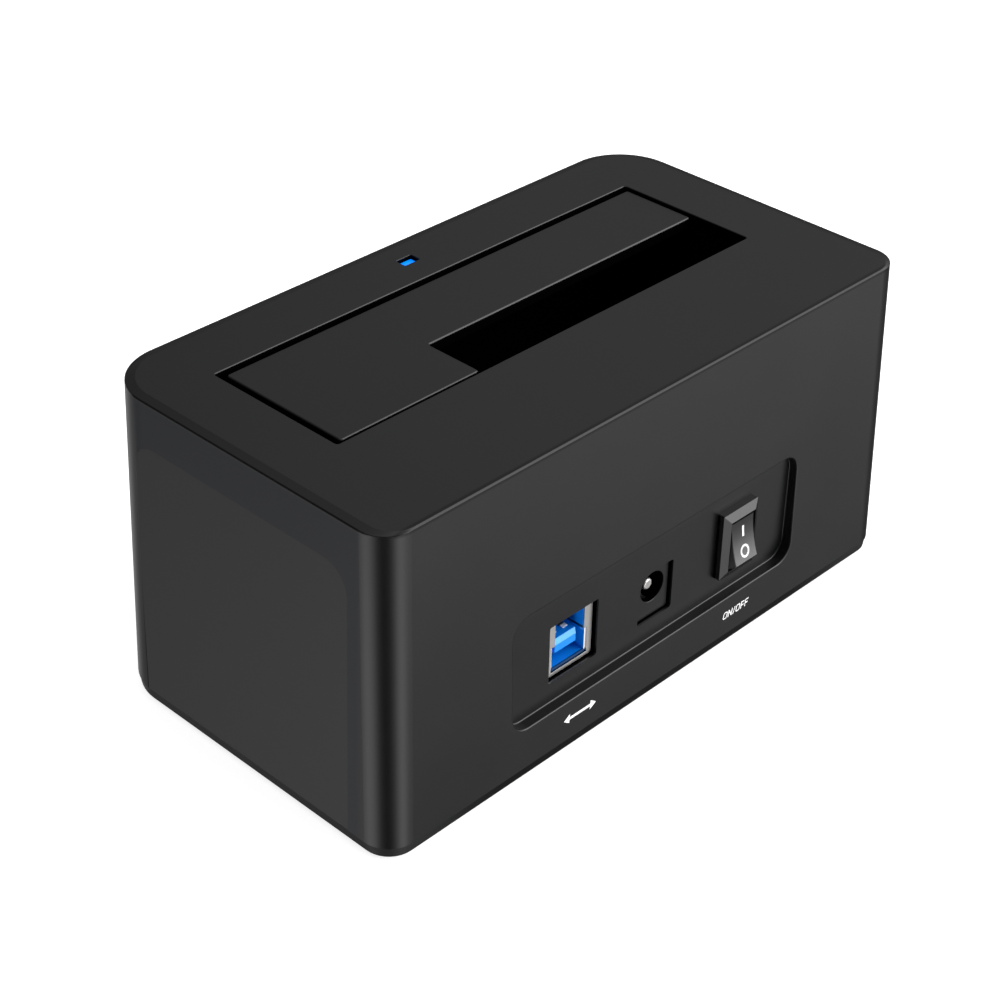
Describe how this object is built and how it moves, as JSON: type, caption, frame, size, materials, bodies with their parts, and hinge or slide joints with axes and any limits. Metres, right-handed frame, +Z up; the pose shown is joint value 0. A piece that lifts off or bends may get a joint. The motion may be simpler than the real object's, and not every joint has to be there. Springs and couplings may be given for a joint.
{
  "type": "hard drive docking station",
  "caption": "Upright desktop docking station with an L-shaped spring flap over one drive bay, a recessed rear panel with data port, power jack and rocker switch.",
  "frame": {"origin": "middle of the footprint, in the plane the rubber feet stand on", "axes": "+Z up out of the drive slot, +X along the long side, +Y out of the connector side, so the indicator side faces -Y"},
  "size_m": [0.1364, 0.0754, 0.0652],
  "materials": {
    "shell_black": "fine satin moulded texture",
    "base_black": "fine moulded texture, semi-gloss rim",
    "bay_black": "moulded, satin",
    "flap_black": "fine satin moulded texture",
    "steel_pin": "drawn rod",
    "spring_steel": "drawn wire",
    "board_green": "solder mask over glass laminate",
    "socket_black": "moulded connector resin",
    "gold_contact": "flash gold over nickel",
    "chip_black": "moulded epoxy",
    "ferrite_grey": "sintered ferrite",
    "can_aluminium": "drawn can",
    "can_steel": "drawn can",
    "port_nickel": "nickel plated",
    "port_blue": "moulded, satin gloss",
    "jack_black": "moulded, satin",
    "switch_grey": "moulded, satin gloss",
    "rocker_grey": "moulded, satin gloss",
    "brass_blade": "stamped blade",
    "lead_red": "insulated lead",
    "led_white": "clear resin",
    "led_blue": "clear light pipe, lit",
    "foot_rubber": "moulded rubber",
    "screw_steel": "zinc plated"
  },
  "bodies": {
    "housing": {"top_shell": "shell_black", "base_plate": "base_black", "drive_bay": "bay_black", "flap_spring": "spring_steel", "main_board": "board_green", "drive_socket": "socket_black", "drive_socket_contacts": "gold_contact", "bridge_chip": "chip_black", "regulator_chip": "chip_black", "power_inductor": "ferrite_grey", "capacitors": "can_aluminium", "crystal_can": "can_steel", "data_port_shell": "port_nickel", "data_port_insert": "port_blue", "data_port_contacts": "gold_contact", "power_jack_body": "jack_black", "power_jack_pin": "port_nickel", "power_jack_contact": "spring_steel", "switch_housing": "switch_grey", "switch_terminals": "brass_blade", "switch_header": "socket_black", "switch_leads": "lead_red", "status_led": "led_white", "led_light_pipe": "led_blue", "rubber_feet": "foot_rubber", "base_screws": "screw_steel", "board_screws": "screw_steel", "bay_screws": "screw_steel"},
    "flap": {"flap_door": "flap_black", "flap_hinge_pins": "steel_pin"},
    "rocker": {"switch_rocker": "rocker_grey"}
  },
  "joints": [
    {"name": "flap_hinge", "type": "hinge", "parent": "housing", "child": "flap", "pos_m": [0, -0.01993, 0.06276], "axis": [-1, 0, 0], "range_deg": [0, 88], "stiffness_Nm_per_rad": 0.0015, "springref_deg": -68.75, "deforming": ["flap_spring"]},
    {"name": "rocker_pivot", "type": "hinge", "parent": "housing", "child": "rocker", "pos_m": [-0.0225, 0.03402, 0.023], "axis": [-1, 0, 0], "range_deg": [0, 22.5]}
  ]
}
